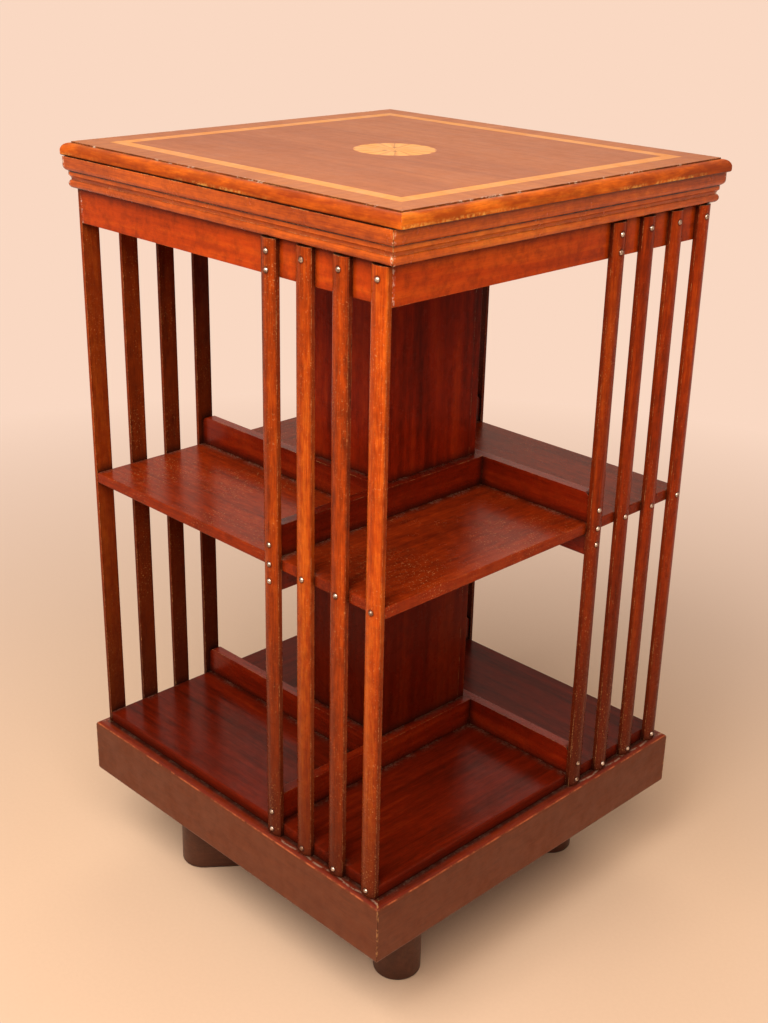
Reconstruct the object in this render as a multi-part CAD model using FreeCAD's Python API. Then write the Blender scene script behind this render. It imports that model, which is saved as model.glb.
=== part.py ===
import FreeCAD, Part
import math
import os

# A two-tier revolving bookcase. Lengths are in millimetres, +Z is up, and the origin is on the floor, on the
# axis that the case turns about. The case's faces look along the X and Y axes. Each face is slatted over its
# right half, seen from outside, and open over its left half, so every piece of a face comes back on the next
# face after a quarter turn.

FACES = ("front", "right", "back", "left")
quarter_turn = 90.0
full_turn = 360.0

# Case, seen from above
case_side = 471.0
core_side = 140.0
ledge_width = 14.0
top_overhang_x = 7.0
top_overhang_y = -2.0

# Case, from the floor up
plinth_lift = 111.0
plinth_height = 69.0
bottom_board_thickness = 14.0
lower_tier_height = 303.0
shelf_thickness = 12.5
upper_tier_height = 286.5
frieze_height = 70.0
top_thickness = 14.5

# Walls and small sections
plinth_thickness = 20.0
plinth_round = 5.0
board_round = 1.5
frieze_thickness = 18.0
core_wall = 10.0
stop_thickness = 12.0
stop_height = 34.0
stop_end_round = 9.0
batten_height = 25.0

# Top board's moulded edge
nose_inset = 9.0
nose_step = 1.5
nose_drop = 9.5
nose_under_round = 2.0

# Inlay in the top board
veneer_depth = 1.0
banding_margin = 37.0
banding_width = 17.0
patera_radius = 44.0

# Cornice moulding, from its top down
cornice_reach = 12.0
upper_fillet_height = 9.0
ovolo_height = 6.0
ovolo_rise = 1.2
lower_fillet_height = 4.5
lower_fillet_reach = 8.0
hollow_height = 4.5
hollow_rise = -0.7
bead_height = 9.0
bead_neck_reach = 5.9
bead_seat_reach = 4.5
bead_rise = 3.0

# Slats and their pins
slats_per_face = 4
slat_width = 21.0
slat_side_depth = 4.5
slat_front_rise = 3.5
slat_past_core = 2.5
slat_top_gap = 1.0
pin_head_radius = 2.7
pin_head_height = 1.9
pin_shank_radius = 1.0
pin_bite = 12.0
upper_pin_rise = 24.0
second_upper_pin_rise = 6.0
stop_pin_rise = 15.0

# Base
arm_reach = 249.0
arm_width = 54.0
arm_height = 92.0
arm_round = 4.0
base_turn = 6.0

# Spindle and its bearings
spindle_radius = 10.0
spindle_stand_out = 4.0
spindle_chamfer = 2.0
flange_radius = 58.0
flange_thickness = 8.0
socket_foot_radius = 27.0
socket_top_radius = 20.0
washer_thickness = 3.0
bush_plate_radius = 45.0
bush_plate_thickness = 5.0
bush_sleeve_radius = 16.0
bush_hub_radius = 19.0
lower_hub_height = 15.0
pivot_block_thickness = 30.0
pivot_block_drop = 66.0

# Screws
flange_screw_radius = 2.2
flange_screw_bite = 24.0
flange_screw_circle = 43.0
bush_screw_radius = 1.8
bush_screw_bite = 9.0
bush_screw_circle = 32.0
screw_head_ratio = 2.0
screws_per_plate = 4

# Clearances
wood_fit = 0.1
metal_fit = 0.05
running_fit = 0.05

# Levels and half sizes that follow from the sizes above
ledge_z = plinth_lift + plinth_height
board_top_z = ledge_z + bottom_board_thickness
shelf_z = board_top_z + lower_tier_height
shelf_top_z = shelf_z + shelf_thickness
frieze_z = shelf_top_z + upper_tier_height
frieze_top_z = frieze_z + frieze_height
top_z = frieze_top_z + top_thickness
case_half = case_side / 2
plinth_half = case_half + ledge_width
core_half = core_side / 2
top_half_x = case_half + cornice_reach + top_overhang_x
top_half_y = case_half + cornice_reach + top_overhang_y
cornice_height = upper_fillet_height + ovolo_height + lower_fillet_height + hollow_height + bead_height
cornice_z = frieze_top_z - cornice_height
slat_top_z = cornice_z - slat_top_gap
slat_thickness = slat_side_depth + slat_front_rise
first_slat_centre = core_half - slat_past_core + slat_width / 2
last_slat_centre = case_half - slat_width / 2
slat_pitch = (last_slat_centre - first_slat_centre) / (slats_per_face - 1)
pivot_block_top_z = frieze_top_z - pivot_block_drop
pivot_block_z = pivot_block_top_z - pivot_block_thickness
socket_top_z = ledge_z - bush_plate_thickness - lower_hub_height - washer_thickness
spindle_top_z = pivot_block_top_z + spindle_stand_out
over_arm_turn = base_turn + quarter_turn / 2


def vector(x, y, z):
    return FreeCAD.Vector(x, y, z)


def block(x0, x1, y0, y1, z0, z1):
    return Part.makeBox(x1 - x0, y1 - y0, z1 - z0, vector(x0, y0, z0))


def eased(shape, radius):
    """The shape with every edge rounded a little."""
    return shape.makeFillet(radius, shape.Edges)


def rotated(shape, degrees):
    """A copy turned about the vertical axis."""
    copy = shape.copy()
    copy.rotate(vector(0, 0, 0), vector(0, 0, 1), degrees)
    return copy


def on_face(shape, face):
    """A piece made for the front face, carried round to another one."""
    return rotated(shape, quarter_turn * face)


def outline(points, place):
    """A flat face with these corners, counter-clockwise. A third number is the rise of an arc to it."""
    edges = []
    here = points[-1]
    for there in points:
        start = place(here[0], here[1])
        end = place(there[0], there[1])
        if len(there) == 3:
            across = there[0] - here[0]
            along = there[1] - here[1]
            chord = math.hypot(across, along)
            middle_u = (here[0] + there[0]) / 2 + along / chord * there[2]
            middle_v = (here[1] + there[1]) / 2 - across / chord * there[2]
            edges.append(Part.Arc(start, place(middle_u, middle_v), end).toShape())
        else:
            edges.append(Part.LineSegment(start, end).toShape())
        here = there
    return Part.Face(Part.Wire(edges))


def arc_rise(step, run):
    """How far an arc stands out from its chord, where it covers step and run and ends square to the step."""
    half_chord = math.hypot(step, run) / 2
    radius = 2 * half_chord ** 2 / step
    return radius - math.sqrt(radius ** 2 - half_chord ** 2)


def turned_piece(points):
    """A solid turned about the vertical axis from a half section of (radius, height) points."""
    section = outline(points, lambda u, v: vector(u, 0, v))
    return section.revolve(vector(0, 0, 0), vector(0, 0, 1), full_turn)


def rod(radius, z0, z1, x=0.0, y=0.0):
    return Part.makeCylinder(radius, z1 - z0, vector(x, y, z0))


def mitred_rail(points, reach):
    """A moulding along the front face: (outward, up) section points, cut on the case's diagonals."""
    section = outline(points, lambda u, v: vector(-reach, -u, v))
    rail = section.extrude(vector(2 * reach, 0, 0))
    bounds = rail.BoundBox
    wedge = outline([(0, 0), (-reach, -reach), (reach, -reach)], lambda u, v: vector(u, v, bounds.ZMin))
    return rail.common(wedge.extrude(vector(0, 0, bounds.ZLength)))


def board_edge(half):
    """The top board's section across its width: flat in the middle, with a moulded nose at each side."""
    under_rise = arc_rise(nose_under_round, nose_under_round)
    upper_rise = arc_rise(nose_inset, nose_drop - nose_step)
    flat_half = half - nose_inset
    under_half = half - nose_under_round
    under_top_z = frieze_top_z + nose_under_round
    return [
        (under_half, frieze_top_z),
        (half, under_top_z, under_rise),
        (half, top_z - nose_drop),
        (flat_half, top_z - nose_step, upper_rise),
        (flat_half, top_z),
        (-flat_half, top_z),
        (-flat_half, top_z - nose_step),
        (-half, top_z - nose_drop, upper_rise),
        (-half, under_top_z),
        (-under_half, frieze_top_z, under_rise),
    ]


def banding_corners(margin):
    x = top_half_x - margin
    y = top_half_y - margin
    return [(-x, -y), (x, -y), (x, y), (-x, y)]


def banding_strips():
    """The four mitred strips of the banding, flush with the top."""
    outer = banding_corners(banding_margin)
    inner = banding_corners(banding_margin + banding_width)
    strips = []
    for side in range(len(outer)):
        after = (side + 1) % len(outer)
        corners = [outer[side], outer[after], inner[after], inner[side]]
        strip = outline(corners, lambda u, v: vector(u, v, top_z - veneer_depth))
        strips.append(strip.extrude(vector(0, 0, veneer_depth)))
    return strips


def patera():
    return rod(patera_radius, top_z - veneer_depth, top_z)


def top_board():
    across_x = outline(board_edge(top_half_x), lambda u, v: vector(u, -top_half_y, v))
    across_y = outline(board_edge(top_half_y), lambda u, v: vector(-top_half_x, u, v))
    moulded_ends = across_x.extrude(vector(0, 2 * top_half_y, 0))
    moulded_sides = across_y.extrude(vector(2 * top_half_x, 0, 0))
    board = moulded_ends.common(moulded_sides)
    for strip in banding_strips():
        board = board.cut(strip)
    return board.cut(rod(patera_radius + wood_fit, top_z - veneer_depth, top_z))


def cornice_rail():
    bead_top = cornice_z + bead_height
    hollow_top = bead_top + hollow_height
    fillet_top = hollow_top + lower_fillet_height
    ovolo_top = fillet_top + ovolo_height
    points = [
        (case_half, cornice_z),
        (case_half + bead_seat_reach, cornice_z),
        (case_half + bead_neck_reach, bead_top, bead_rise),
        (case_half + lower_fillet_reach, hollow_top, hollow_rise),
        (case_half + lower_fillet_reach, fillet_top),
        (case_half + cornice_reach, ovolo_top, ovolo_rise),
        (case_half + cornice_reach, frieze_top_z),
        (case_half, frieze_top_z),
    ]
    return mitred_rail(points, case_half + cornice_reach)


def plinth_board():
    inside = plinth_half - plinth_thickness
    rise = arc_rise(plinth_round, plinth_round)
    points = [
        (inside, plinth_lift),
        (plinth_half - plinth_round, plinth_lift),
        (plinth_half, plinth_lift + plinth_round, rise),
        (plinth_half, ledge_z - plinth_round),
        (plinth_half - plinth_round, ledge_z, rise),
        (inside, ledge_z),
    ]
    return mitred_rail(points, plinth_half)


def slat_centre(index):
    """Slat 0 stands next to the face's opening, and the last one at the corner."""
    return first_slat_centre + index * slat_pitch


def pin_places(index):
    """Heights of one slat's pins. The slat beside the opening also holds the book stops and a batten."""
    shelf_pin_z = shelf_z + shelf_thickness / 2
    board_pin_z = ledge_z + bottom_board_thickness / 2
    heights = [frieze_z + upper_pin_rise, shelf_pin_z, board_pin_z]
    if index == 0:
        heights.append(frieze_z + second_upper_pin_rise)
        heights.append(shelf_top_z + stop_pin_rise)
        heights.append(shelf_z - batten_height / 2)
        heights.append(board_top_z + stop_pin_rise)
    return heights


def pin_holes():
    """Straight holes for the shanks of the front face's pins, through the slats and into what they hold."""
    front = case_half + slat_thickness
    radius = pin_shank_radius + metal_fit
    depth = slat_thickness + pin_bite + metal_fit
    holes = []
    for index in range(slats_per_face):
        for z in pin_places(index):
            start = vector(slat_centre(index), -front, z)
            holes.append(Part.makeCylinder(radius, depth, start, vector(0, 1, 0)))
    return holes


def slat_pins():
    """The front face's pins: round heads on the slats' fronts, shanks in what stands behind."""
    section = [
        (0, -slat_thickness - pin_bite),
        (pin_shank_radius, -slat_thickness - pin_bite),
        (pin_shank_radius, 0),
        (pin_head_radius, 0),
        (0, pin_head_height, arc_rise(pin_head_height, pin_head_radius)),
    ]
    pins = []
    for index in range(slats_per_face):
        for z in pin_places(index):
            pin = turned_piece(section)
            pin.rotate(vector(0, 0, 0), vector(1, 0, 0), quarter_turn)
            pin.translate(vector(slat_centre(index), -case_half - slat_thickness, z))
            pins.append(pin)
    return pins


def drilled(shape):
    """A front-face piece with the holes of the pins that reach it."""
    for hole in pin_holes():
        if shape.BoundBox.intersect(hole.BoundBox):
            shape = shape.cut(hole)
    return shape


def slat(index):
    centre = slat_centre(index)
    left = centre - slat_width / 2
    right = centre + slat_width / 2
    front = -case_half - slat_side_depth
    points = [(left, -case_half), (left, front), (right, front, slat_front_rise), (right, -case_half)]
    section = outline(points, lambda u, v: vector(u, v, ledge_z))
    return drilled(section.extrude(vector(0, 0, slat_top_z - ledge_z)))


def frieze_rail():
    """It covers the end of the rail on its left and butts against the back of the one on its right."""
    inner = case_half - frieze_thickness
    return drilled_all_round(block(-case_half, inner, -case_half, -inner, frieze_z, frieze_top_z))


def drilled_all_round(shape):
    """A piece that more than one face's pins reach, with the holes of every face."""
    for face in range(len(FACES)):
        shape = on_face(drilled(on_face(shape, -face)), face)
    return shape


def middle_shelf():
    half = case_half
    board = eased(block(-half, half, -half, half, shelf_z, shelf_top_z), board_round)
    hole = core_half + wood_fit
    board = board.cut(block(-hole, hole, -hole, hole, shelf_z, shelf_top_z))
    return drilled_all_round(board)


def bottom_board():
    half = case_half
    board = eased(block(-half, half, -half, half, ledge_z, board_top_z), board_round)
    board = board.cut(rod(bush_sleeve_radius + metal_fit, ledge_z, board_top_z))
    pilot_top = ledge_z + bush_screw_bite + metal_fit
    for x, y in circle_places(bush_screw_circle, screws_per_plate):
        board = board.cut(rod(bush_screw_radius + metal_fit, ledge_z, pilot_top, x, y))
    return drilled_all_round(board)


def core_panel():
    """One wall of the core, on the front side. It butts against the back of the panel on its right."""
    inner = core_half - core_wall
    return block(-core_half, inner, -core_half, -inner, board_top_z, frieze_top_z)


def stop_board(z0, height, end_round):
    """A board from the front face's first slat back along the core's right side, standing on z0."""
    points = [
        (-case_half, z0),
        (core_half, z0),
        (core_half, z0 + height),
    ]
    if end_round > 0:
        points.append((-case_half + end_round, z0 + height))
        points.append((-case_half, z0 + height - end_round, arc_rise(end_round, end_round)))
    else:
        points.append((-case_half, z0 + height))
    section = outline(points, lambda u, v: vector(core_half, u, v))
    return drilled(section.extrude(vector(stop_thickness, 0, 0)))


def circle_places(radius, count, turn=0.0):
    places = []
    for index in range(count):
        angle = math.radians(turn + full_turn * index / count)
        places.append((radius * math.cos(angle), radius * math.sin(angle)))
    return places


def base_arm(lap_z0, lap_z1):
    """One arm of the cross, along X: round ends, eased edges, and a half lap in the middle."""
    end = arm_reach - arm_width / 2
    side = arm_width / 2
    points = [(end, -side), (end, side, side), (-end, side), (-end, -side, side)]
    arm = outline(points, lambda u, v: vector(u, v, 0)).extrude(vector(0, 0, arm_height))
    rims = [edge for edge in arm.Edges if edge.BoundBox.ZLength < arm_round]
    arm = arm.makeFillet(arm_round, rims)
    lap = side + wood_fit
    return arm.cut(block(-lap, lap, -arm_width, arm_width, lap_z0, lap_z1))


def flange_screw_holes():
    holes = []
    bottom = arm_height - flange_screw_bite - metal_fit
    for x, y in circle_places(flange_screw_circle, screws_per_plate, over_arm_turn):
        holes.append(rod(flange_screw_radius + metal_fit, bottom, arm_height + flange_thickness, x, y))
    return holes


def without(shape, cutters):
    for cutter in cutters:
        shape = shape.cut(cutter)
    return shape


def spindle_flange():
    """A disc on the arms' crossing with a tall tapered socket for the spindle."""
    disc_top = arm_height + flange_thickness
    bore = spindle_radius + metal_fit
    points = [
        (bore, arm_height),
        (flange_radius, arm_height),
        (flange_radius, disc_top),
        (socket_foot_radius, disc_top),
        (socket_top_radius, socket_top_z),
        (bore, socket_top_z),
    ]
    return without(turned_piece(points), flange_screw_holes())


def spindle():
    points = [
        (0, arm_height),
        (spindle_radius, arm_height),
        (spindle_radius, spindle_top_z - spindle_chamfer),
        (spindle_radius - spindle_chamfer, spindle_top_z),
        (0, spindle_top_z),
    ]
    return turned_piece(points)


def thrust_washer():
    washer = rod(socket_top_radius, socket_top_z, socket_top_z + washer_thickness)
    return washer.cut(rod(spindle_radius + metal_fit, socket_top_z, socket_top_z + washer_thickness))


def bush_plate(seat_z, hub_height, sleeve_height):
    """A plate under a wooden piece, with a sleeve up into it. The lower one's hub runs on the washer."""
    bore = spindle_radius + running_fit
    under = seat_z - bush_plate_thickness
    plate = rod(bush_plate_radius, under, seat_z)
    plate = plate.fuse(rod(bush_sleeve_radius, under, seat_z + sleeve_height))
    if hub_height > 0:
        plate = plate.fuse(rod(bush_hub_radius, under - hub_height, seat_z))
    plate = plate.removeSplitter().cut(rod(bore, under - hub_height, seat_z + sleeve_height))
    for x, y in circle_places(bush_screw_circle, screws_per_plate):
        plate = plate.cut(rod(bush_screw_radius + metal_fit, under, seat_z, x, y))
    return plate


def pivot_block():
    half = core_half - core_wall - wood_fit
    wood = block(-half, half, -half, half, pivot_block_z, pivot_block_top_z)
    wood = wood.cut(rod(bush_sleeve_radius + metal_fit, pivot_block_z, pivot_block_top_z))
    pilot_top = pivot_block_z + bush_screw_bite + metal_fit
    for x, y in circle_places(bush_screw_circle, screws_per_plate):
        wood = wood.cut(rod(bush_screw_radius + metal_fit, pivot_block_z, pilot_top, x, y))
    return wood


def screw(radius, shank, points_up):
    """A round-headed screw with its head's flat side at z = 0."""
    head = radius * screw_head_ratio
    points = [(0, -shank), (radius, -shank), (radius, 0), (head, 0), (0, radius, arc_rise(radius, head))]
    piece = turned_piece(points)
    if points_up:
        piece.rotate(vector(0, 0, 0), vector(1, 0, 0), full_turn / 2)
    return piece


def flange_screws():
    screws = []
    for x, y in circle_places(flange_screw_circle, screws_per_plate, over_arm_turn):
        piece = screw(flange_screw_radius, flange_thickness + flange_screw_bite, False)
        piece.translate(vector(x, y, arm_height + flange_thickness))
        screws.append(piece)
    return screws


def bush_screws():
    screws = []
    for seat_z in (ledge_z, pivot_block_z):
        for x, y in circle_places(bush_screw_circle, screws_per_plate):
            piece = screw(bush_screw_radius, bush_plate_thickness + bush_screw_bite, True)
            piece.translate(vector(x, y, seat_z - bush_plate_thickness))
            screws.append(piece)
    return screws


def case_pieces():
    pieces = {
        "top_board": top_board(),
        "top_banding": Part.makeCompound(banding_strips()),
        "top_patera": patera(),
        "middle_shelf": middle_shelf(),
        "bottom_board": bottom_board(),
        "pivot_block": pivot_block(),
        "upper_bush_plate": bush_plate(pivot_block_z, 0, pivot_block_thickness),
        "lower_bush_plate": bush_plate(ledge_z, lower_hub_height, bottom_board_thickness),
        "bush_screws": Part.makeCompound(bush_screws()),
    }
    per_face = {
        "cornice": cornice_rail(),
        "frieze_rail": frieze_rail(),
        "plinth_board": plinth_board(),
        "core_panel": core_panel(),
        "upper_book_stop": stop_board(shelf_top_z, stop_height, stop_end_round),
        "lower_book_stop": stop_board(board_top_z, stop_height, stop_end_round),
        "shelf_batten": stop_board(shelf_z - batten_height, batten_height, 0),
    }
    for index in range(slats_per_face):
        per_face[f"slat_{index + 1}"] = slat(index)
    pins = []
    for face, side in enumerate(FACES):
        for name, shape in per_face.items():
            pieces[f"{name}_{side}"] = on_face(shape, face)
        pins += [on_face(pin, face) for pin in slat_pins()]
    pieces["slat_pins"] = Part.makeCompound(pins)
    return pieces


def base_pieces():
    half_height = arm_height / 2
    under = rotated(base_arm(half_height, arm_height), over_arm_turn - quarter_turn)
    over = rotated(base_arm(0, half_height), over_arm_turn)
    return {
        "base_arm_under": without(under, flange_screw_holes()),
        "base_arm_over": without(over, flange_screw_holes()),
        "spindle_flange": spindle_flange(),
        "flange_screws": Part.makeCompound(flange_screws()),
        "spindle": spindle(),
        "thrust_washer": thrust_washer(),
    }


def main():
    os.makedirs("parts", exist_ok=True)
    pieces = {**case_pieces(), **base_pieces()}
    for name, shape in pieces.items():
        shape.exportStep(f"parts/{name}.step")
    print(len(pieces), "pieces, overall height", top_z)


main()
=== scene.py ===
import collections
import itertools
import math

import bpy
from mathutils import Matrix, Vector


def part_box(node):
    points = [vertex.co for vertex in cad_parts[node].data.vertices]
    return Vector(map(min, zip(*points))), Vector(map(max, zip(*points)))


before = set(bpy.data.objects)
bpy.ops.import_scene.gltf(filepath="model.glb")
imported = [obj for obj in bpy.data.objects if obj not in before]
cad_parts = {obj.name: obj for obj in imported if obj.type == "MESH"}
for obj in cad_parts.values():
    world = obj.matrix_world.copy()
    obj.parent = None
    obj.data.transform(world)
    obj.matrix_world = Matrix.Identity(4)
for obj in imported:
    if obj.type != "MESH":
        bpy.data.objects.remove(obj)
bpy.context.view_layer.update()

# The looks of a two-tier revolving bookcase: polished mahogany with an inlaid top, worn edges and dust in
# the corners. Lengths are in metres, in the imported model's frame: +Z up, the front face looks along -Y.

FACES = ("front", "right", "back", "left")
MM = 0.001

# Camera
camera_place = Vector((1.0786, -1.0822, 1.1038))
camera_azimuth = 45.01
camera_elevation = 22.56
camera_roll = 1.28
camera_lens = 50.23
camera_sensor = 36.0

# Light
world_light = 0.2
key_place = (0.3, -1.75, 2.45)
key_size = 1.5
key_power = 50.0
key_colour = (1.0, 0.97, 0.91)
fill_place = (1.25, -1.2, 1.95)
fill_size = 1.5
fill_power = 38.0
fill_colour = (1.0, 0.87, 0.74)
back_place = (-1.4, 1.4, 2.4)
back_size = 1.8
back_power = 14.0
lamp_aim = (0.0, 0.0, 0.5)

# Floor, which fades into the pale backdrop between two distances from the axis
floor_half = 12.0
floor_fade = (0.45, 1.9)
floor_roughness = 0.9
floor_specular = 0.1
floor_tint_span = (0.3, 0.7)
floor_tint_shares = (0.0, 0.05)

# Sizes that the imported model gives
case_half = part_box("middle_shelf")[1].x
core_half = -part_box("core_panel_front")[0].y
ledge_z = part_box("plinth_board_front")[1].z
shelf_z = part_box("middle_shelf")[1].z
top_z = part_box("top_board")[1].z
border_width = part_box("top_board")[1].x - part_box("top_banding")[1].x
patera_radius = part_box("top_patera")[1].x
first_slat_centre = sum(corner.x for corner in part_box("slat_1_front")) / 2
slat_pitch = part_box("slat_2_front")[0].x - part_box("slat_1_front")[0].x
slat_half = (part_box("slat_1_front")[1].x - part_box("slat_1_front")[0].x) / 2
slats_per_face = 4
level_slack = 0.1 * MM

# A wood: its dark, middle and light colour as the eye sees them, from 0 to 255, how strong its broad figure
# and its fine grain are, and how bright it is
Wood = collections.namedtuple("Wood", "dark middle light figure fine bright", defaults=(1.0, 1.0, 1.0))
cornice_wood = Wood((144, 54, 11), (204, 90, 17), (232, 126, 30), figure=0.8)
frieze_wood = Wood((130, 38, 8), (182, 62, 10), (212, 90, 17), figure=0.9, fine=0.5)
plinth_wood = Wood((97, 47, 25), (116, 57, 31), (132, 69, 39), figure=0.3)
ledge_wood = Wood((60, 16, 6), (112, 32, 10), (140, 50, 16))
# Painted light and shade: each face's slats are a copy of one wood, lightest on the front and darkest on the
# right, as the faces are lit
slat_woods_shaded_by_face = {
    "front": Wood((92, 30, 8), (168, 63, 12), (216, 106, 28), figure=0.85, fine=1.3),
    "right": Wood((82, 23, 6), (146, 46, 8), (186, 76, 18), figure=0.85, fine=1.3),
    "back": Wood((92, 28, 7), (160, 56, 10), (202, 94, 24), figure=0.85, fine=1.3),
    "left": Wood((94, 30, 8), (164, 60, 11), (206, 98, 26), figure=0.85, fine=1.3),
}
stop_wood = Wood((74, 14, 4), (124, 28, 6), (156, 48, 12))
# Painted light: the core is the stop wood painted brighter
core_wood = stop_wood._replace(bright=1.35)
shelf_wood = Wood((100, 28, 8), (142, 44, 10), (166, 64, 20), figure=0.7, fine=1.4)
board_wood = Wood((60, 13, 4), (108, 25, 6), (144, 46, 11), figure=0.8, fine=0.8)
field_wood = Wood((148, 76, 38), (170, 95, 50), (184, 110, 60), figure=0.7, fine=0.5)
border_wood = Wood((158, 84, 40), (188, 110, 54), (206, 126, 66), figure=0.5, fine=0.6)
nose_wood = Wood((156, 58, 12), (212, 98, 20), (240, 138, 38), figure=0.9)
underside_wood = Wood((74, 36, 20), (108, 56, 32), (128, 70, 42))
banding_wood = Wood((212, 132, 62), (228, 154, 80), (240, 172, 98), figure=0.5)
patera_wood = Wood((232, 156, 80), (246, 180, 104), (254, 200, 126), figure=0.4)
arm_wood = Wood((60, 30, 18), (90, 48, 30), (110, 62, 40), figure=0.6)
block_wood = Wood((150, 104, 62), (186, 140, 92), (206, 164, 116))

# A metal: its clean and its tarnished colour, its roughness where clean, and how far the tarnish spreads
Metal = collections.namedtuple("Metal", "clean tarnished roughness spread")
metals = {
    "black_iron": Metal((70, 68, 66), (58, 44, 36), 0.45, 0.1),
    "bright_steel": Metal((190, 190, 188), (120, 112, 104), 0.22, 0.0),
    "bronze": Metal((196, 150, 84), (110, 84, 50), 0.3, 0.1),
    "screw_steel": Metal((150, 148, 144), (86, 76, 66), 0.35, 0.1),
    "pin_steel": Metal((206, 192, 178), (120, 92, 74), 0.22, 0.05),
}
metal_pieces = {
    "black_iron": ("spindle_flange", "upper_bush_plate", "lower_bush_plate"),
    "bright_steel": ("spindle",),
    "bronze": ("thrust_washer",),
    "screw_steel": ("flange_screws", "bush_screws"),
    "pin_steel": ("slat_pins",),
}
tarnish_scale = 160.0
tarnish_detail = 4.0
tarnish_fineness = 0.7
tarnish_start = 0.5
tarnish_end = 0.6
tarnish_roughness = 0.3
pit_scale = 1400.0
pit_depth = 0.08 * MM
pit_strength = 0.5

# A tint of the floor: its noise's features to a metre, the noise's detail, and the colour
Tint = collections.namedtuple("Tint", "scale detail colour")
floor_clouds = Tint(3.0, 3.0, (222, 184, 150))
floor_fibres = Tint(220.0, 2.0, (200, 160, 126))

# Other colours, from 0 to 255
backdrop_colour = (250, 216, 194)
floor_colour = (241, 206, 176)
world_colour = (255, 240, 226)
# A dark colour for dirt, dark joints, and painted shade in corners and recesses
dirt_and_shade_colour = (38, 14, 8)
dust_colour = (196, 168, 142)
bare_wood_colour = (238, 176, 112)
pale_chip_colour = (244, 214, 190)
# Wear and a painted highlight along the plinth's top arris
old_polish_colour = (72, 24, 10)
worn_arris_and_highlight_colour = (196, 102, 60)
# Painted shade on the slats: towards the bottom, and on their backs
low_shade_colour = (82, 31, 16)
slat_back_shade_colour = (66, 24, 10)
core_shade_colour = (46, 9, 3)
nose_stain_colour = (120, 36, 8)
scuff_colour = (150, 106, 92)
gold_colour = (244, 186, 96)
stringing_colour = (150, 78, 44)
sand_colour = (176, 96, 44)
petal_seam_colour = (140, 74, 34)
petal_rim_colour = (186, 108, 66)
mark_colour = (130, 70, 28)

# A finish: its roughness and specular level, how much wear, corner dirt with painted shade and dust it has,
# how uneven its roughness is, how much old polish clouds it, and how far from a corner the dirt and painted
# shade reach
corner_reach = 12 * MM
Finish = collections.namedtuple("Finish", "roughness specular wear dirt dust uneven aged reach",
                                defaults=(0.6, 0.75, 0.12, 1.0, 0.25, corner_reach))
cornice_finish = Finish(0.22, 0.25, wear=0.9, dirt=1.0, aged=0.28, reach=4.5 * MM)
frieze_finish = Finish(0.2, 0.08, wear=0.9, dirt=0.8, aged=0.4)
plinth_finish = Finish(0.42, 0.2, dirt=0.6, dust=0.05)
slat_finish = Finish(0.26, 0.06, wear=0.8, dirt=0.9)
core_finish = Finish(0.25, 0.06, dirt=0.9)
stop_finish = Finish(0.25, 0.12, dirt=0.9)
shelf_finish = Finish(0.22, 0.06, wear=1.0, dust=0.2)
board_finish = Finish(0.2, 0.04, wear=0.5)
top_finish = Finish(0.46, 0.12, wear=0.7, dirt=0.6, dust=0.0, uneven=0.3, aged=0.12)
inlay_finish = Finish(0.46, 0.12, wear=0.0, dirt=0.0, dust=0.0, aged=0.0)
arm_finish = Finish(0.4, 0.35, wear=0.5, dirt=0.6, dust=0.5)
block_finish = Finish(0.6, 0.2)

# A grain pattern: how many features to a metre along and across the fibres, the span of its noise that shows,
# and the noise's own settings
Grain = collections.namedtuple("Grain", "along across span detail roughness distortion",
                               defaults=(2.0, 0.5, 0.0))
broad_figure = Grain(1.8, 13.0, (0.32, 0.68), detail=3.0, distortion=0.8)
streaks = Grain(5.0, 110.0, (0.32, 0.68), detail=3.0)
fibres = Grain(45.0, 800.0, (0.3, 0.7))
mottle = Grain(70.0, 190.0, (0.3, 0.7))
pores = Grain(120.0, 2100.0, (0.62, 0.7))
nose_clouds = Grain(22.0, 75.0, (0.4, 0.6), detail=4.0, roughness=0.65)

# How much each pattern adds to the wood's tone, and the tones at which the wood's three colours stand
figure_share = 0.5
streak_share = 0.34
fibre_share = 0.1
mottle_share = 0.08
dark_to_middle = (0.15, 0.6)
middle_to_light = (0.6, 1.05)
pore_share = 0.3
fibre_depth = 0.3
grain_depth = 0.05 * MM
grain_strength = 0.4

# Spots: how many features to a metre, the noise value above which they show, how soft their edge is, and the
# noise's own settings
Spots = collections.namedtuple("Spots", "scale limit blur detail roughness", defaults=(2.0, 0.5))
polish_clouds = Spots(75.0, 0.54, 0.22, detail=5.0, roughness=0.72)
rubbed_patches = Spots(38.0, 0.53, 0.14, detail=4.0, roughness=0.7)
rubbed_specks = Spots(520.0, 0.48, 0.2)
dusty_patches = rubbed_patches._replace(limit=0.5, blur=0.12)
dust_crumbs = Spots(420.0, 0.5, 0.1, detail=3.0, roughness=0.7)
cornice_chips = Spots(240.0, 0.56, 0.08, detail=3.0, roughness=0.7)
frieze_chips = cornice_chips._replace(limit=0.54)
broken_arris = Spots(60.0, 0.5, 0.16, detail=4.0, roughness=0.7)
groove_crumbs = Spots(330.0, 0.6, 0.06, detail=3.0, roughness=0.7)
plinth_chips = Spots(170.0, 0.55, 0.08, detail=3.0, roughness=0.7)
wax_flakes = plinth_chips._replace(limit=0.48, blur=0.1)
light_flecks = Spots(560.0, 0.66, 0.06)
fleck_patches = Spots(14.0, 0.52, 0.2, detail=3.0)
scuffed_patches = Spots(26.0, 0.52, 0.1, detail=5.0, roughness=0.7)
scuffed_crumbs = Spots(260.0, 0.5, 0.16, detail=4.0, roughness=0.7)
bright_patches = scuffed_patches._replace(limit=0.56, blur=0.04)
bright_crumbs = scuffed_crumbs._replace(limit=0.54, blur=0.06)
gold_patches = scuffed_patches._replace(limit=0.48)
gold_crumbs = scuffed_crumbs._replace(blur=0.1)
gold_places = Spots(9.0, 0.5, 0.1)

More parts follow.
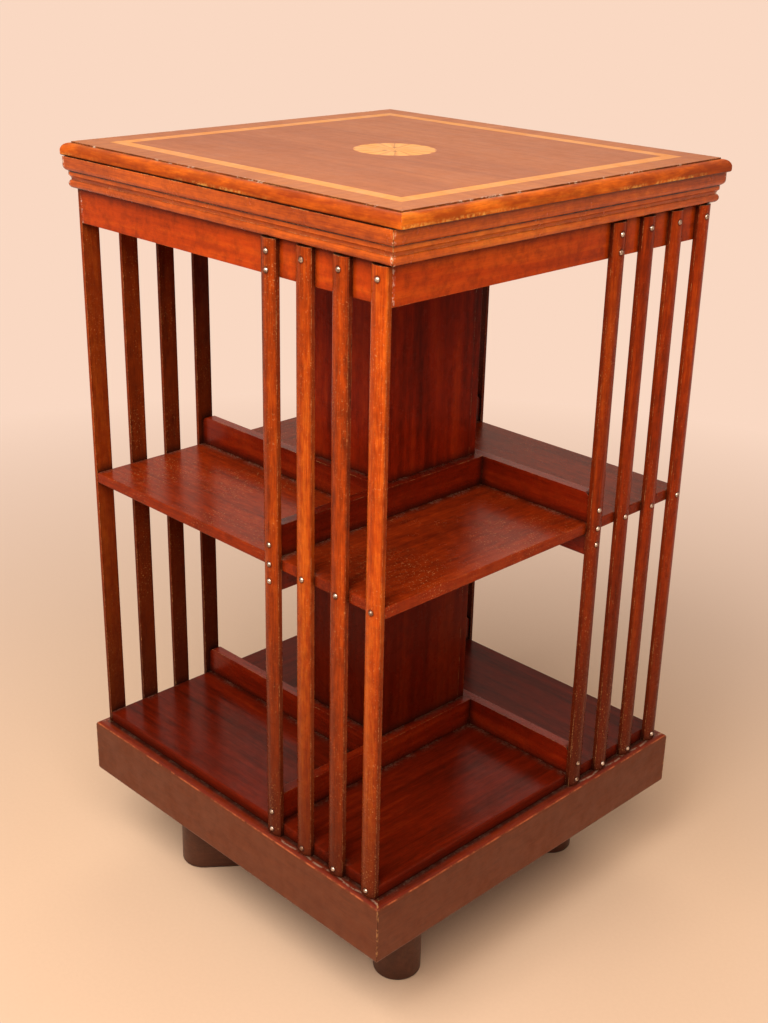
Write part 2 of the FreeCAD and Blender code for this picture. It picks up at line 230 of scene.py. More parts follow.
# Wear, dirt with painted shade in the corners, and dust on every wood
edge_round = 0.9 * MM
edge_samples = 4
edge_bend = (0.99, 0.85)
corner_samples = 6
dirt_and_shade_openness = (0.95, 0.5)
dusty_openness = (0.9, 0.6)
upward_limit = 0.8
upward_blur = 0.2
gloss_span = (0.3, 0.7)
gloss_gain = 0.2
gloss_loss = 0.35
dust_roughness = 0.5

# Cornice and frieze
step_line = 0.9 * MM
step_clouds = 30.0
step_clouds_detail = 3.0
step_cloud_span = (0.35, 0.6)
step_dirt_and_shade = (0.35, 0.85)
flat_step_normal = 0.9
step_digits = 4
cornice_chip_reach = 2.4 * MM
cornice_chip_share = 0.8
cornice_seam = 0.4 * MM
frieze_chip_reach = 2.5 * MM
frieze_chip_share = 0.6

# Plinth
ledge_drop = 1.6 * MM
ledge_blur = 0.8 * MM
arris_drop = 2.0 * MM
arris_half = 0.6 * MM
arris_blur = 0.5 * MM
arris_wear_and_highlight_share = 0.7
flat_drop = 0.4 * MM
flat_blur = 0.2 * MM
groove_width = 4 * MM
groove_blur = 3 * MM
groove_dirt_and_shade_share = 0.8
groove_dust_share = 0.15
wax_wave = 4 * MM
wax_distance = 4.5 * MM
wax_half = 1.1 * MM
wax_blur = 1.4 * MM
wax_start_blur = 10 * MM
wax_share = 0.5
plinth_chip_reach = 1.4 * MM
plinth_chip_share = 0.45
plinth_seam = 0.3 * MM
plinth_seam_share = 0.7

# Slats
slat_grain_step = 0.61
slat_grain_start = 0.3
slat_brightness = 0.98
# Painted light: each slat is painted this much brighter than the one before it, towards the corner
slat_painted_light_step = 0.13
# Painted shade: how dark the slats are painted at the ledge and at the middle shelf
low_shade_shares = (0.92, 0.15)
side_strip = 1.2 * MM
side_blur = 1.6 * MM
side_share = 0.4
facing_limit = 0.5
facing_blur = 0.2
# Painted shade on the slats' backs, which face into the case
back_shade_share = 0.6
slat_fleck_share = 0.3
pin_halo_radius = 2.4 * MM
pin_halo_width = 2.2 * MM
pin_halo_share = 0.8

# Core and shelves
core_shade_shares = (0.75, 0.35)
shelf_fleck_share = 0.4

# Top
scuff_reach = 4 * MM
scuff_blur = 6 * MM
scuff_share = 0.55
nose_blur = 0.4 * MM
nose_stain_share = 0.6
nose_line_place = -0.2 * MM
nose_line_half = 0.4 * MM
nose_line_blur = 0.5 * MM
nose_line_span = (0.35, 0.6)
nose_line_shares = (0.8, 0.2)
bright_line_half = 1.4 * MM
gold_drop = 11 * MM
gold_blur = 3 * MM
gold_share = 0.7

# Inlay
stringing_width = 0.9 * MM
stringing_blur = 0.4 * MM
stringing_share = 0.6
petal_count = 16
petal_middle = 0.5
sand_part = (0.0, 0.45)
sand_reach = (0.3, 0.95)
sand_shares = (0.75, 0.25)
seam_distance = 0.47
seam_blur = 0.02
seam_share = 0.55
petal_bow = 12 * MM
rim_width = 0.8 * MM
rim_share = 0.6
mark_angles = (-45.0, 135.0, -98.0)
mark_distance = 0.3
mark_radii = (1.0 * MM, 4.5 * MM)
mark_share = 0.7


def linear(red, green, blue):
    """A colour as the eye sees it, from 0 to 255, made linear for the shaders by the sRGB formula."""
    parts = []
    for value in (red, green, blue):
        share = value / 255
        parts.append(share / 12.92 if share <= 0.04045 else ((share + 0.055) / 1.055) ** 2.4)
    return (*parts, 1.0)


def wood_tones(wood):
    tones = [linear(*tone) for tone in (wood.dark, wood.middle, wood.light)]
    return [(*(wood.bright * part for part in tone[:3]), 1.0) for tone in tones]


class Shader:
    """A material with short calls for the nodes used here. A place is a vector socket, in metres."""

    def __init__(self, name):
        self.material = bpy.data.materials.new(name)
        self.material.use_nodes = True
        self.tree = self.material.node_tree
        self.surface = self.tree.nodes["Principled BSDF"]
        self.place = self.node("ShaderNodeTexCoord").outputs["Object"]
        self.normal = self.node("ShaderNodeNewGeometry").outputs["True Normal"]

    def node(self, kind, inputs=None, **settings):
        node = self.tree.nodes.new(kind)
        for name, value in settings.items():
            setattr(node, name, value)
        for name, value in (inputs or {}).items():
            self.set(node.inputs[name], value)
        return node

    def set(self, socket, value):
        if isinstance(value, bpy.types.NodeSocket):
            self.tree.links.new(value, socket)
        elif value is not None:
            socket.default_value = value

    def math(self, operation, a, b=None):
        return self.node("ShaderNodeMath", {0: a, 1: b}, operation=operation).outputs[0]

    def times(self, *values):
        product = values[0]
        for value in values[1:]:
            product = self.math("MULTIPLY", product, value)
        return product

    def absolute(self, value):
        return self.math("ABSOLUTE", value)

    def distance(self, a, b):
        return self.absolute(self.math("SUBTRACT", a, b))

    def length(self, a, b):
        """The length of a step that goes a one way and b square to it."""
        return self.math("SQRT", self.math("ADD", self.times(a, a), self.times(b, b)))

    def parts(self, place):
        return self.node("ShaderNodeSeparateXYZ", {0: place}).outputs

    def vector(self, x, y, z):
        return self.node("ShaderNodeCombineXYZ", {0: x, 1: y, 2: z}).outputs[0]

    def ramp(self, value, limits, results=(0.0, 1.0)):
        """Straight from the first result to the second between the two limits, and flat outside them."""
        span = {"From Min": limits[0], "From Max": limits[1], "To Min": results[0], "To Max": results[1]}
        return self.node("ShaderNodeMapRange", {"Value": value, **span}, clamp=True).outputs[0]

    def above(self, value, limit, blur):
        return self.ramp(value, (limit - blur / 2, limit + blur / 2))

    def below(self, value, limit, blur):
        return self.ramp(value, (limit - blur / 2, limit + blur / 2), (1.0, 0.0))

    def near(self, value, centre, half_width, blur):
        return self.below(self.distance(value, centre), half_width, blur)

    def mix(self, share, a, b):
        """Colour a where the share is 0, and b where it is 1. Sockets 6 and 7 are the node's colours."""
        return self.node("ShaderNodeMix", {0: share, 6: a, 7: b}, data_type="RGBA").outputs[2]

    def mix_places(self, share, a, b):
        """Place a where the share is 0, and b where it is 1. Sockets 4 and 5 are the node's vectors."""
        return self.node("ShaderNodeMix", {0: share, 4: a, 5: b}, data_type="VECTOR").outputs[1]

    def stained(self, colour, stain, *shares):
        """The colour, covered by the stain as far as the product of the shares says."""
        return self.mix(self.times(*shares), colour, linear(*stain))

    def noise(self, place, scale, detail=2.0, roughness=0.5, distortion=0.0):
        inputs = {"Vector": place, "Scale": scale, "Detail": detail, "Roughness": roughness,
                  "Distortion": distortion}
        return self.node("ShaderNodeTexNoise", inputs).outputs["Fac"]

    def spot_noise(self, spots):
        return self.noise(self.place, spots.scale, spots.detail, spots.roughness)

    def spots(self, spots):
        return self.above(self.spot_noise(spots), spots.limit, spots.blur)

    def grain_noise(self, place, grain):
        """Noise drawn out along the fibres, which run along the place's first axis."""
        scales = (grain.along, grain.across, grain.across)
        drawn_out = self.node("ShaderNodeMapping", {"Vector": place, "Scale": scales}).outputs[0]
        return self.noise(drawn_out, 1.0, grain.detail, grain.roughness, grain.distortion)

    def grain(self, place, grain, results=(0.0, 1.0)):
        return self.ramp(self.grain_noise(place, grain), grain.span, results)

    def shifted(self, place, shift):
        return self.node("ShaderNodeMapping", {"Vector": place, "Location": shift}).outputs[0]


def mesh_of(node):
    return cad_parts[node].data


def paint(node, material):
    mesh = mesh_of(node)
    mesh.materials.clear()
    mesh.materials.append(material)


def nodes_along(name, axis):
    """The pieces of this name on the faces that run along x (front and back) or along y (right and left)."""
    faces = FACES[0::2] if axis == "x" else FACES[1::2]
    return [f"{name}_{face}" for face in faces]


def grain_place(shader, grain):
    """The place with its first axis along the grain: x, y, z, or the way the shelves' four boards run."""
    x, y, z = shader.parts(shader.place)
    if grain == "x":
        return shader.place
    if grain == "y":
        return shader.vector(y, x, z)
    if grain == "z":
        return shader.vector(z, x, y)
    beyond = shader.math("GREATER_THAN", shader.absolute(y), core_half)
    along = shader.times(x, shader.math("SIGN", y))
    inside = shader.math("GREATER_THAN", along, -core_half)
    return shader.mix_places(shader.times(beyond, inside), shader.vector(y, x, z), shader.place)


def face_place(shader, axis):
    """How far right a point lies on its own face, seen from outside, and how far out from the axis."""
    x, y = shader.parts(shader.place)[:2]
    if axis == "x":
        return shader.times(x, shader.math("SIGN", y), -1.0), shader.absolute(y)
    return shader.times(y, shader.math("SIGN", x)), shader.absolute(x)


def grain_colour(shader, place, wood):
    """The wood's own colour, and how deep its fibres and pores lie."""
    dark, middle, light = wood_tones(wood)
    tone = shader.grain(place, broad_figure, (0.0, figure_share * wood.figure))
    tone = shader.math("ADD", tone, shader.grain(place, streaks, (0.0, streak_share * wood.figure)))
    for pattern, share in ((fibres, fibre_share), (mottle, mottle_share)):
        swing = share * wood.fine
        tone = shader.math("ADD", tone, shader.grain(place, pattern, (share - swing, share + swing)))
    low = shader.mix(shader.ramp(tone, dark_to_middle), dark, middle)
    colour = shader.mix(shader.ramp(tone, middle_to_light), low, light)
    pore = shader.grain(place, pores)
    colour = shader.mix(shader.times(pore, pore_share), colour, dark)
    fibre = shader.times(shader.grain_noise(place, fibres), fibre_depth)
    return colour, shader.math("SUBTRACT", fibre, pore)


def edge_wear(shader, rounded):
    """1 on rubbed places of the edges, where the rounded surface bends away from the flat one."""
    bend = shader.node("ShaderNodeVectorMath", {0: rounded, 1: shader.normal}, operation="DOT_PRODUCT")
    edge = shader.ramp(bend.outputs["Value"], edge_bend)
    return shader.times(edge, shader.spots(rubbed_patches), shader.spots(rubbed_specks))


def settled_dust(shader, openness):
    """1 on crumbs of dust, on surfaces that look up and lie close to others."""
    upward = shader.above(shader.parts(shader.normal)[2], upward_limit, upward_blur)
    close = shader.ramp(openness, dusty_openness)
    return shader.times(upward, close, shader.spots(dusty_patches), shader.spots(dust_crumbs))


def finish(shader, colour, depth, look):
    """Clouds of old polish, grime and painted shade in the corners, bare wood on the edges, dust, and an
    uneven gloss.
    """
    colour = shader.stained(colour, old_polish_colour, shader.spots(polish_clouds), look.aged)
    rounded = shader.node("ShaderNodeBevel", {"Radius": edge_round}, samples=edge_samples).outputs[0]
    openness = shader.node("ShaderNodeAmbientOcclusion", {"Distance": look.reach},
                           samples=corner_samples).outputs["AO"]
    # Corners and creases are darkened here: partly dirt, partly painted shade
    colour = shader.stained(colour, dirt_and_shade_colour, shader.ramp(openness, dirt_and_shade_openness), look.dirt)
    colour = shader.stained(colour, bare_wood_colour, edge_wear(shader, rounded), look.wear)
    film = shader.times(settled_dust(shader, openness), look.dust)
    colour = shader.stained(colour, dust_colour, film)
    glossy = look.roughness * (1 - gloss_gain * look.uneven)
    dull = look.roughness * (1 + gloss_loss * look.uneven)
    roughness = shader.ramp(shader.spot_noise(rubbed_patches), gloss_span, (glossy, dull))
    roughness = shader.math("ADD", roughness, shader.times(film, dust_roughness))
    relief = {"Height": depth, "Distance": grain_depth, "Strength": grain_strength, "Normal": rounded}
    shader.set(shader.surface.inputs["Base Color"], colour)
    shader.set(shader.surface.inputs["Roughness"], roughness)
    shader.set(shader.surface.inputs["Normal"], shader.node("ShaderNodeBump", relief).outputs[0])
    shader.set(shader.surface.inputs["Specular IOR Level"], look.specular)
    return shader.material


def plain_wood(name, grain, wood, look):
    shader = Shader(name)
    colour, depth = grain_colour(shader, grain_place(shader, grain), wood)
    return finish(shader, colour, depth, look)


def mitre_line(shader, half_width):
    """Where a point lies near the case's diagonals."""
    x, y = shader.parts(shader.place)[:2]
    return shader.near(shader.absolute(x), shader.absolute(y), half_width, half_width)


def flecked(shader, colour, share):
    """Small light flecks where the polish has gone, in patches."""
    flecks = shader.times(shader.spots(light_flecks), shader.spots(fleck_patches))
    return shader.stained(colour, bare_wood_colour, flecks, share)


def step_heights(node):
    """The heights of a moulding's flat steps, without its own top and underside."""
    flats = [face for face in mesh_of(node).polygons if abs(face.normal.z) > flat_step_normal]
    heights = sorted({round(face.center.z, step_digits) for face in flats})
    return heights[1:-1]


def paint_cornice():
    """Mouldings with dark lines of old grime and painted shade along their steps, and chipped mitres."""
    for axis in "xy":
        shader = Shader(f"cornice_{axis}")
        colour, depth = grain_colour(shader, grain_place(shader, axis), cornice_wood)
        z = shader.parts(shader.place)[2]
        clouds = shader.noise(shader.place, step_clouds, step_clouds_detail)
        share = shader.ramp(clouds, step_cloud_span, step_dirt_and_shade)
        # Dark lines along the steps: partly dirt, partly painted shade in the moulding's recesses
        for height in step_heights("cornice_front"):
            colour = shader.stained(colour, dirt_and_shade_colour, shader.near(z, height, step_line, step_line), share)
        chips = shader.times(mitre_line(shader, cornice_chip_reach), shader.spots(cornice_chips))
        colour = shader.stained(colour, pale_chip_colour, chips, cornice_chip_share)
        colour = shader.stained(colour, dirt_and_shade_colour, mitre_line(shader, cornice_seam))
        material = finish(shader, colour, depth, cornice_finish)
        for node in nodes_along("cornice", axis):
            paint(node, material)


def paint_frieze():
    """Plain red rails with chipped ends."""
    for axis in "xy":
        for node in nodes_along("frieze_rail", axis):
            shader = Shader(node)
            colour, depth = grain_colour(shader, grain_place(shader, axis), frieze_wood)
            chips = shader.times(mitre_line(shader, frieze_chip_reach), shader.spots(frieze_chips))
            colour = shader.stained(colour, pale_chip_colour, chips, frieze_chip_share)
            paint(node, finish(shader, colour, depth, frieze_finish))


def wax_line(shader, right, outward):
    """A wavy line of old wax on the ledge, from slat to slat."""
    turns = shader.times(shader.math("SUBTRACT", right, first_slat_centre), math.pi / slat_pitch)
    wave = shader.absolute(shader.math("SINE", turns))
    middle = shader.math("ADD", shader.times(wave, wax_wave), case_half + wax_distance)
    line = shader.near(outward, middle, wax_half, wax_blur)
    return shader.times(line, shader.above(right, first_slat_centre, wax_start_blur))


def paint_plinth():
    """Hazy brown fronts, a red polished ledge with a groove darkened by grime and painted shade beside the
    board, and a light top arris of wear and painted highlight.
    """
    for axis in "xy":
        shader = Shader(f"plinth_board_{axis}")
        z = shader.parts(shader.place)[2]
        right, outward = face_place(shader, axis)
        place = grain_place(shader, axis)
        front, depth = grain_colour(shader, place, plinth_wood)
        ledge = grain_colour(shader, place, ledge_wood)[0]
        colour = shader.mix(shader.above(z, ledge_z - ledge_drop, ledge_blur), front, ledge)
        # A light band along the top arris: partly wear, partly a painted highlight
        arris = shader.near(z, ledge_z - arris_drop, arris_half, arris_blur)
        colour = shader.stained(colour, worn_arris_and_highlight_colour, arris, shader.spots(broken_arris), arris_wear_and_highlight_share)
        on_ledge = shader.above(z, ledge_z - flat_drop, flat_blur)
        # The groove beside the board is darkened: partly dirt, partly painted shade in the corner
        groove = shader.times(on_ledge, shader.below(outward, case_half + groove_width, groove_blur))
        colour = shader.stained(colour, dirt_and_shade_colour, groove, groove_dirt_and_shade_share)
        crumbs = shader.times(groove, shader.spots(groove_crumbs), groove_dust_share)
        wax = shader.times(on_ledge, wax_line(shader, right, outward), shader.spots(wax_flakes), wax_share)
        colour = shader.stained(colour, dust_colour, shader.math("MAXIMUM", crumbs, wax))
        chips = shader.times(mitre_line(shader, plinth_chip_reach), shader.spots(plinth_chips))
        colour = shader.stained(colour, bare_wood_colour, chips, plinth_chip_share)
        colour = shader.stained(colour, dirt_and_shade_colour, mitre_line(shader, plinth_seam), plinth_seam_share)
        material = finish(shader, colour, depth, plinth_finish)
        for node in nodes_along("plinth_board", axis):
            paint(node, material)


def pin_heights(centre):
    """The heights of the pins in the front slat with this centre."""
    heights = []
    for vertex in mesh_of("slat_pins").vertices:
        if vertex.co.y < -case_half and abs(vertex.co.x - centre) < slat_pitch / 2:
            heights.append(vertex.co.z)
    heights.sort()
    groups = [[heights[0]]]
    for height in heights[1:]:
        if height - groups[-1][-1] > pin_halo_width:
            groups.append([])
        groups[-1].append(height)
    return [(group[0] + group[-1]) / 2 for group in groups]


def across_face(shader):
    """How far a point of a slat lies from the middle of its face."""
    x, y = shader.parts(shader.place)[:2]
    return shader.math("MINIMUM", shader.absolute(x), shader.absolute(y))


def pin_halo(shader, centre):
    """A dark ring of old polish round each pin."""
    z = shader.parts(shader.place)[2]
    heights = pin_heights(centre)
    rise = shader.distance(z, heights[0])
    for height in heights[1:]:
        rise = shader.math("MINIMUM", rise, shader.distance(z, height))
    radius = shader.length(shader.math("SUBTRACT", across_face(shader), centre), rise)
    return shader.ramp(radius, (pin_halo_radius, pin_halo_radius + pin_halo_width), (1.0, 0.0))


def outward_facing(shader):
    """1 on surfaces that look straight out of the case, and -1 on those that look straight in."""
    x, y = shader.parts(shader.place)[:2]
    normal_x, normal_y = shader.parts(shader.normal)[:2]
    at_side = shader.math("GREATER_THAN", shader.absolute(x), shader.absolute(y))
    from_side = shader.times(normal_x, shader.math("SIGN", x), at_side)
    from_front = shader.times(normal_y, shader.math("SIGN", y), shader.math("SUBTRACT", 1.0, at_side))
    return shader.math("ADD", from_side, from_front)


def paint_slats():
    """Orange on top, browner towards the bottom and dark on their backs as painted shade, and lighter towards
    the corner as painted light.
    """
    for face, index in itertools.product(FACES, range(slats_per_face)):
        node = f"slat_{index + 1}_{face}"
        shader = Shader(node)
        centre = first_slat_centre + index * slat_pitch
        shift = (slat_grain_step * index, slat_grain_start, 0.0)
        place = shader.shifted(grain_place(shader, "z"), shift)
        # Painted light: each slat brighter than the one before it, towards the corner
        wood = slat_woods_shaded_by_face[face]._replace(bright=slat_brightness + slat_painted_light_step * index)
        colour, depth = grain_colour(shader, place, wood)
        # Painted shade: darker towards the bottom
        low_shade = shader.ramp(shader.parts(shader.place)[2], (ledge_z, shelf_z), low_shade_shares)
        colour = shader.stained(colour, low_shade_colour, low_shade)
        side = shader.above(shader.distance(across_face(shader), centre), slat_half - side_strip, side_blur)
        colour = shader.stained(colour, old_polish_colour, side, side_share)
        # Painted shade on the backs, which face into the case
        back = shader.below(outward_facing(shader), -facing_limit, facing_blur)
        colour = shader.stained(colour, slat_back_shade_colour, back, back_shade_share)
        colour = flecked(shader, colour, slat_fleck_share)
        colour = shader.stained(colour, dirt_and_shade_colour, pin_halo(shader, centre), pin_halo_share)
        paint(node, finish(shader, colour, depth, slat_finish))


def paint_core():
    """Red panels, painted brighter than the stops as painted light, and darker in the lower tier as painted
    shade.
    """
    shader = Shader("core_panel")
    colour, depth = grain_colour(shader, grain_place(shader, "z"), core_wood)
    z = shader.parts(shader.place)[2]
    low = shader.ramp(z, (ledge_z, shelf_z), core_shade_shares)
    colour = shader.stained(colour, core_shade_colour, low, shader.below(z, shelf_z, MM))
    material = finish(shader, colour, depth, core_finish)
    for face in FACES:
        paint(f"core_panel_{face}", material)


def paint_stops():
    """The boards that run back from each face's first slat. Their grain runs square to that face."""
    for grain, axis in ("xy", "yx"):
        material = plain_wood(f"stop_{grain}", grain, stop_wood, stop_finish)
        for name in ("upper_book_stop", "lower_book_stop", "shelf_batten"):
            for node in nodes_along(name, axis):
                paint(node, material)


def paint_shelves():
    """The flecked middle shelf and the redder bottom board, whose grain turns from face to face."""
    shader = Shader("middle_shelf")
    colour, depth = grain_colour(shader, grain_place(shader, "boards"), shelf_wood)
    colour = flecked(shader, colour, shelf_fleck_share)
    paint("middle_shelf", finish(shader, colour, depth, shelf_finish))
    paint("bottom_board", plain_wood("bottom_board", "boards", board_wood, board_finish))


def top_flat():
    """Half the top's flat part along x and along y, inside the rounded nose."""
    rim = [vertex.co for vertex in mesh_of("top_board").vertices if vertex.co.z > top_z - level_slack]
    return max(co.x for co in rim), max(co.y for co in rim)


def edge_distances(shader):
    """How far a point lies in from the flat's right or left edge, and from its front or back one."""
    places = shader.parts(shader.place)[:2]
    return [shader.math("SUBTRACT", half, shader.absolute(place)) for half, place in zip(top_flat(), places)]


def inward_distance(shader):
    return shader.math("MINIMUM", *edge_distances(shader))


def edge_places(shader):
    """The place with its first axis along the flat's nearest edge, and with its first axis across it."""
    x, y, z = shader.parts(shader.place)
    at_side = shader.math("LESS_THAN", *edge_distances(shader))
    turned = shader.vector(y, x, z)
    along = shader.mix_places(at_side, shader.place, turned)
    across = shader.mix_places(at_side, turned, shader.place)
    return along, across


def top_nose(shader, along):
    """The nose's orange wood in clouds of a darker stain."""
    colour = grain_colour(shader, along, nose_wood)[0]
    return shader.stained(colour, nose_stain_colour, shader.grain(along, nose_clouds), nose_stain_share)


def nose_marks(shader, colour, inward, on_nose):
    """A dark line with pale chips along the nose's upper edge, and worn gold along its lower one."""
    line = shader.near(inward, nose_line_place, nose_line_half, nose_line_blur)
    share = shader.ramp(shader.spot_noise(scuffed_patches), nose_line_span, nose_line_shares)
    colour = shader.stained(colour, dirt_and_shade_colour, line, share)
    bright = shader.near(inward, 0.0, bright_line_half, MM)
    bright = shader.times(bright, shader.spots(bright_patches), shader.spots(bright_crumbs))
    colour = shader.stained(colour, pale_chip_colour, bright)
    low = shader.below(shader.parts(shader.place)[2], top_z - gold_drop, gold_blur)
    gold = shader.times(low, on_nose, shader.spots(gold_places), shader.spots(gold_patches))
    return shader.stained(colour, gold_colour, gold, shader.spots(gold_crumbs), gold_share)


def paint_top_board():
    """A figured field, a crossbanded border, an orange nose and a brown underside."""
    shader = Shader("top_board")
    inward = inward_distance(shader)
    along, across = edge_places(shader)
    field, depth = grain_colour(shader, shader.place, field_wood)
    border = grain_colour(shader, across, border_wood)[0]
    colour = shader.mix(shader.above(inward, border_width, MM), border, field)
    scuffs = shader.times(shader.below(inward, scuff_reach, scuff_blur), shader.spots(scuffed_patches),
                          shader.spots(scuffed_crumbs))
    colour = shader.stained(colour, scuff_colour, scuffs, scuff_share)
    on_nose = shader.below(inward, 0.0, nose_blur)
    colour = shader.mix(on_nose, colour, top_nose(shader, along))
    colour = nose_marks(shader, colour, inward, on_nose)
    under = shader.below(shader.parts(shader.normal)[2], -facing_limit, facing_blur)
    colour = shader.mix(under, colour, grain_colour(shader, shader.place, underside_wood)[0])
    paint("top_board", finish(shader, colour, depth, top_finish))


def paint_banding():
    """Light crossbanding between two thin dark lines."""
    shader = Shader("top_banding")
    reaches = [abs(vertex.co.x) for vertex in mesh_of("top_banding").vertices]
    colour, depth = grain_colour(shader, edge_places(shader)[1], banding_wood)
    for reach in (max(reaches), min(reaches)):
        edge = top_flat()[0] - reach
        line = shader.near(inward_distance(shader), edge, stringing_width, stringing_blur)
        colour = shader.stained(colour, stringing_colour, line, stringing_share)
    paint("top_banding", finish(shader, colour, depth, inlay_finish))


def paint_patera():
    """A fan of light petals, each shaded with hot sand along one side, and three dark marks."""
    shader = Shader("top_patera")
    x, y, z = shader.parts(shader.place)
    radius = shader.length(x, y)
    angle = shader.math("ARCTAN2", y, x)
    turns = shader.times(angle, petal_count / (2 * math.pi))
    petal = shader.math("FRACT", shader.math("ADD", turns, petal_count))
    colour, depth = grain_colour(shader, shader.vector(radius, angle, z), patera_wood)
    reach = [share * patera_radius for share in sand_reach]
    sand = shader.times(shader.ramp(petal, sand_part, (1.0, 0.0)), shader.ramp(radius, reach, sand_shares))
    colour = shader.stained(colour, sand_colour, sand)
    seam = shader.above(shader.distance(petal, petal_middle), seam_distance, seam_blur)
    colour = shader.stained(colour, petal_seam_colour, seam, seam_share)
    aside = shader.math("SUBTRACT", petal, petal_middle)
    bowed_radius = shader.math("ADD", radius, shader.times(aside, aside, petal_bow))
    rim = shader.above(bowed_radius, patera_radius - rim_width, rim_width)
    colour = shader.stained(colour, petal_rim_colour, rim, rim_share)
    for mark_angle in mark_angles:
        mark_x = math.cos(math.radians(mark_angle)) * mark_distance * patera_radius
        mark_y = math.sin(math.radians(mark_angle)) * mark_distance * patera_radius
        away = shader.length(shader.math("SUBTRACT", x, mark_x), shader.math("SUBTRACT", y, mark_y))
        colour = shader.stained(colour, mark_colour, shader.ramp(away, mark_radii, (mark_share, 0.0)))
    paint("top_patera", finish(shader, colour, depth, inlay_finish))


def arm_direction(node):
    """The way a base arm runs, from the point of it that is furthest from the axis."""
    tip = max((vertex.co for vertex in mesh_of(node).vertices), key=lambda co: co.xy.length)
    return math.atan2(tip.y, tip.x)


def paint_arms():
    for node in ("base_arm_under", "base_arm_over"):
        shader = Shader(node)
        turn = {"Vector": shader.place, "Angle": -arm_direction(node)}
        place = shader.node("ShaderNodeVectorRotate", turn, rotation_type="Z_AXIS").outputs[0]
        colour, depth = grain_colour(shader, place, arm_wood)
        paint(node, finish(shader, colour, depth, arm_finish))


def metal_material(name):
    """Metal with a duller tarnish in patches, and small pits."""
    metal = metals[name]
    shader = Shader(name)
    patches = shader.noise(shader.place, tarnish_scale, tarnish_detail, tarnish_fineness)
    pits = shader.noise(shader.place, pit_scale)
    share = shader.ramp(patches, (tarnish_start - metal.spread, tarnish_end))
    colour = shader.mix(share, linear(*metal.clean), linear(*metal.tarnished))
    roughness = shader.ramp(share, (0.0, 1.0), (metal.roughness, metal.roughness + tarnish_roughness))
    relief = {"Height": pits, "Distance": pit_depth, "Strength": pit_strength}
    shader.set(shader.surface.inputs["Base Color"], colour)
    shader.set(shader.surface.inputs["Roughness"], roughness)
    shader.set(shader.surface.inputs["Normal"], shader.node("ShaderNodeBump", relief).outputs[0])
    shader.set(shader.surface.inputs["Metallic"], 1.0)
    return shader.material


def paint_metals():
    for name, nodes in metal_pieces.items():
        material = metal_material(name)
        for node in nodes:
            paint(node, material)


def seen_directly(tree):
    """Whether the camera, a mirror or a glass sees the surface, rather than a dull one that it lights."""
    rays = tree.nodes.new("ShaderNodeLightPath").outputs
    seen = rays["Is Camera Ray"]
    for name in ("Is Glossy Ray", "Is Transmission Ray"):
        node = tree.nodes.new("ShaderNodeMath")
        node.operation = "MAXIMUM"
        tree.links.new(seen, node.inputs[0])
        tree.links.new(rays[name], node.inputs[1])
        seen = node.outputs[0]
    return seen


def floor_material():
    """A plain pale floor that fades into the backdrop."""
    shader = Shader("floor")
    colour = linear(*floor_colour)
    for tint in (floor_clouds, floor_fibres):
        pattern = shader.noise(shader.place, tint.scale, tint.detail)
        share = shader.ramp(pattern, floor_tint_span, floor_tint_shares)
        colour = shader.stained(colour, tint.colour, share)
    shader.set(shader.surface.inputs["Base Color"], colour)
    shader.set(shader.surface.inputs["Roughness"], floor_roughness)
    shader.set(shader.surface.inputs["Specular IOR Level"], floor_specular)
    x, y = shader.parts(shader.place)[:2]
    far = shader.ramp(shader.length(x, y), floor_fade)
    share = shader.times(far, seen_directly(shader.tree))
    glow = shader.node("ShaderNodeEmission", {"Color": linear(*backdrop_colour), "Strength": 1.0}).outputs[0]
    mixed = shader.node("ShaderNodeMixShader", {0: share, 1: shader.surface.outputs[0], 2: glow}).outputs[0]
    shader.set(shader.tree.nodes["Material Output"].inputs["Surface"], mixed)
    return shader.material


def make_floor():
    corners = [(-floor_half, -floor_half, 0), (floor_half, -floor_half, 0), (floor_half, floor_half, 0),
               (-floor_half, floor_half, 0)]
    mesh = bpy.data.meshes.new("floor")
    mesh.from_pydata(corners, [], [(0, 1, 2, 3)])
    mesh.materials.append(floor_material())
    floor = bpy.data.objects.new("floor", mesh)
    bpy.context.scene.collection.objects.link(floor)


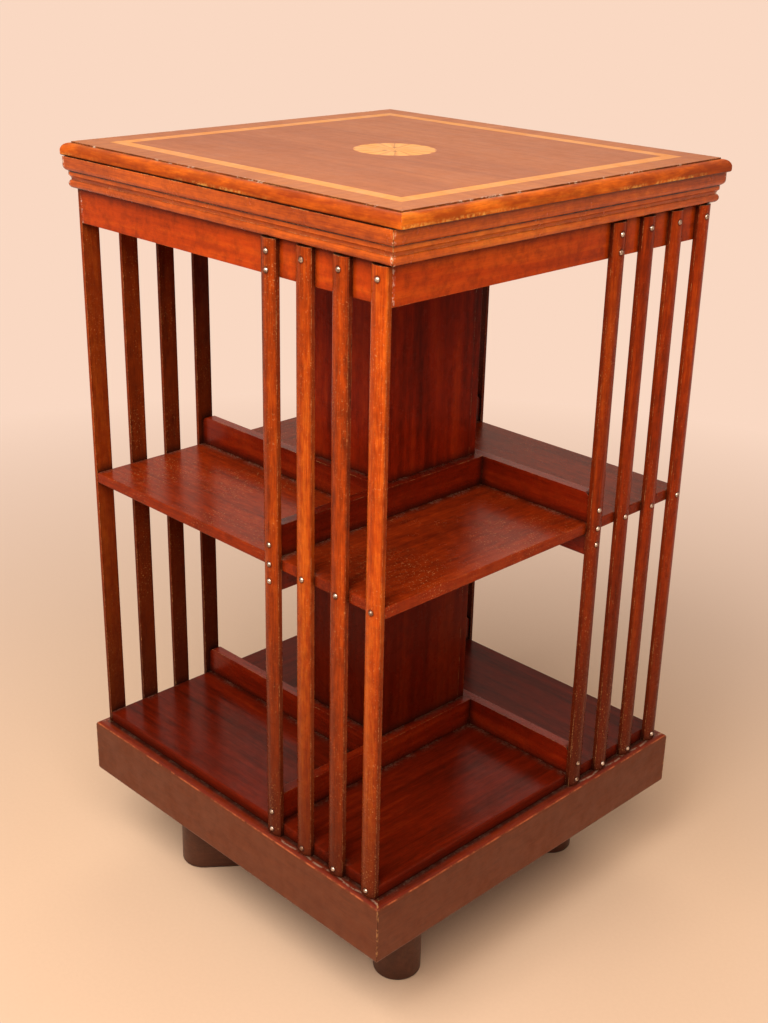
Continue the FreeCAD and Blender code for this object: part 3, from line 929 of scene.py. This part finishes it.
def make_world():
    """A weak even light on the object, and a pale backdrop behind it."""
    world = bpy.data.worlds.new("studio")
    bpy.context.scene.world = world
    world.use_nodes = True
    tree = world.node_tree
    light = tree.nodes["Background"]
    light.inputs["Color"].default_value = linear(*world_colour)
    light.inputs["Strength"].default_value = world_light
    behind = tree.nodes.new("ShaderNodeBackground")
    behind.inputs["Color"].default_value = linear(*backdrop_colour)
    behind.inputs["Strength"].default_value = 1.0
    mixed = tree.nodes.new("ShaderNodeMixShader")
    tree.links.new(seen_directly(tree), mixed.inputs[0])
    tree.links.new(light.outputs[0], mixed.inputs[1])
    tree.links.new(behind.outputs[0], mixed.inputs[2])
    tree.links.new(mixed.outputs[0], tree.nodes["World Output"].inputs["Surface"])


def make_lamp(name, place, size, power, colour):
    light = bpy.data.lights.new(name, "AREA")
    light.size = size
    light.energy = power
    light.color = colour
    lamp = bpy.data.objects.new(name, light)
    bpy.context.scene.collection.objects.link(lamp)
    lamp.location = place
    lamp.rotation_euler = (Vector(lamp_aim) - Vector(place)).to_track_quat("-Z", "Y").to_euler()


def make_camera():
    azimuth = math.radians(camera_azimuth)
    elevation = math.radians(camera_elevation)
    roll = math.radians(camera_roll)
    flat = math.cos(elevation)
    back = Vector((math.sin(azimuth) * flat, -math.cos(azimuth) * flat, math.sin(elevation)))
    right = Vector((0, 0, 1)).cross(back).normalized()
    up = back.cross(right)
    right_rolled = math.cos(roll) * right + math.sin(roll) * up
    up_rolled = math.cos(roll) * up - math.sin(roll) * right
    data = bpy.data.cameras.new("camera")
    data.lens = camera_lens
    data.sensor_width = camera_sensor
    camera = bpy.data.objects.new("camera", data)
    bpy.context.scene.collection.objects.link(camera)
    turn = Matrix((right_rolled, up_rolled, back)).transposed()
    camera.matrix_world = Matrix.Translation(camera_place) @ turn.to_4x4()
    bpy.context.scene.camera = camera


paint_cornice()
paint_frieze()
paint_plinth()
paint_slats()
paint_core()
paint_stops()
paint_shelves()
paint_top_board()
paint_banding()
paint_patera()
paint_arms()
paint("pivot_block", plain_wood("pivot_block", "x", block_wood, block_finish))
paint_metals()
make_floor()
make_world()
make_lamp("key", key_place, key_size, key_power, key_colour)
make_lamp("fill", fill_place, fill_size, fill_power, fill_colour)
make_lamp("back", back_place, back_size, back_power, fill_colour)
make_camera()
bpy.context.scene.view_settings.view_transform = "Standard"
